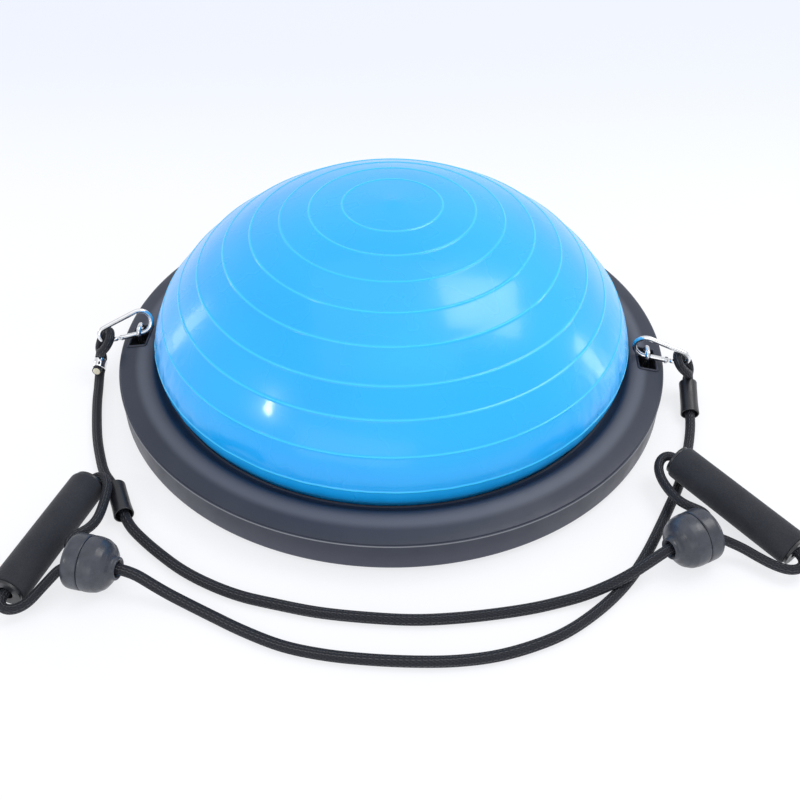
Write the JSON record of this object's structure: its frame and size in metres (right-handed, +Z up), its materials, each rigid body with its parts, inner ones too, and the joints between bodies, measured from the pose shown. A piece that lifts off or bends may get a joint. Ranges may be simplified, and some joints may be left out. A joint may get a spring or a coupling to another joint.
{
  "type": "balance dome trainer",
  "caption": "Inflated blue half dome clamped into a round flat base, with elastic resistance cords snapped onto the rim and ending in foam handles.",
  "frame": {"origin": "centre of the base's flat underside; the rubber feet reach 5.3 mm below it", "axes": "+Z up through the dome's top, +X from the left cord anchor to the right one, -Y towards the side where the cords and handles lie"},
  "size_m": [0.715, 0.6796, 0.2103],
  "materials": {
    "dome": "glossy blue inflated PVC skin with raised latitude lines",
    "shell": "finely textured charcoal moulded plastic",
    "foam": "smooth closed-cell foam",
    "plastic": "semi-matte charcoal moulded plastic",
    "cord": "braided black cover with thin grey tracer threads",
    "rubber": "black, semi-matte",
    "steel": "bright nickel plate",
    "latex": "cut end of the cord's latex core"
  },
  "bodies": {
    "base": {"dome_bladder": "dome", "base_plate": "shell", "clamp_ring": "shell", "valve_seat": "rubber", "rim_screw_1": "steel", "foot_1": "rubber", "rim_screw_2": "steel", "foot_2": "rubber", "rim_screw_3": "steel", "foot_3": "rubber", "rim_screw_4": "steel", "foot_4": "rubber", "rim_screw_5": "steel", "foot_5": "rubber", "rim_screw_6": "steel", "foot_6": "rubber", "left_anchor_cup": "shell", "left_u_bolt": "steel", "left_anchor_plate": "steel", "left_u_bolt_nut_front": "steel", "left_u_bolt_nut_back": "steel", "left_sleeve": "rubber", "left_cord": "cord", "left_stopper_front": "plastic", "left_stopper_back": "plastic", "left_cord_knot": "cord", "left_loop_knot": "cord", "left_handle_loop": "cord", "right_anchor_cup": "shell", "right_u_bolt": "steel", "right_anchor_plate": "steel", "right_u_bolt_nut_front": "steel", "right_u_bolt_nut_back": "steel", "right_cord": "cord", "right_stopper_front": "plastic", "right_stopper_back": "plastic", "right_cord_knot": "cord", "right_loop_knot": "cord", "right_handle_loop": "cord"},
    "left_hook": {"left_hook_body": "steel", "left_gate_rivet": "steel", "left_cord_eye": "cord", "left_ferrule": "steel", "left_cord_tail": "latex"},
    "left_gate": {"left_hook_gate": "steel", "left_gate_spring": "steel"},
    "right_hook": {"right_hook_body": "steel", "right_gate_rivet": "steel", "right_cord_eye": "cord", "right_ferrule": "steel", "right_sleeve": "rubber"},
    "right_gate": {"right_hook_gate": "steel", "right_gate_spring": "steel"},
    "left_handle": {"left_grip": "foam", "left_core_tube": "plastic"},
    "right_handle": {"right_grip": "foam", "right_core_tube": "plastic"},
    "plug": {"air_plug": "rubber"}
  },
  "joints": [
    {"name": "left_hook_lift", "type": "hinge", "parent": "base", "child": "left_hook", "pos_m": [-0.271, -0.0165, 0.0476], "axis": [0, 1, 0], "range_deg": [0, 15], "deforming": ["left_cord"]},
    {"name": "right_hook_lift", "type": "hinge", "parent": "base", "child": "right_hook", "pos_m": [0.271, -0.0165, 0.0476], "axis": [0, -1, 0], "range_deg": [0, 12], "deforming": ["right_cord"]},
    {"name": "left_gate_pivot", "type": "hinge", "parent": "left_hook", "child": "left_gate", "pos_m": [-0.28955, -0.02595, 0.03884], "axis": [0.4255, -0.8391, 0.339], "range_deg": [0, 25], "stiffness_Nm_per_rad": 0.04, "springref_deg": -28.65},
    {"name": "right_gate_pivot", "type": "hinge", "parent": "right_hook", "child": "right_gate", "pos_m": [0.29121, -0.02157, 0.0388], "axis": [0.2522, 0.964, 0.0843], "range_deg": [0, 25], "stiffness_Nm_per_rad": 0.04, "springref_deg": -28.65},
    {"name": "left_handle_spin", "type": "hinge", "parent": "base", "child": "left_handle", "pos_m": [-0.29097, -0.28088, 0.0117], "axis": [-0.2459, -0.9693, 0], "continuous": true},
    {"name": "right_handle_spin", "type": "hinge", "parent": "base", "child": "right_handle", "pos_m": [0.33405, -0.20415, 0.01771], "axis": [0.6892, -0.7196, -0.0854], "continuous": true},
    {"name": "air_plug_pull", "type": "slide", "parent": "base", "child": "plug", "axis": [0, 0, -1], "range_m": [0, 0.012]}
  ]
}
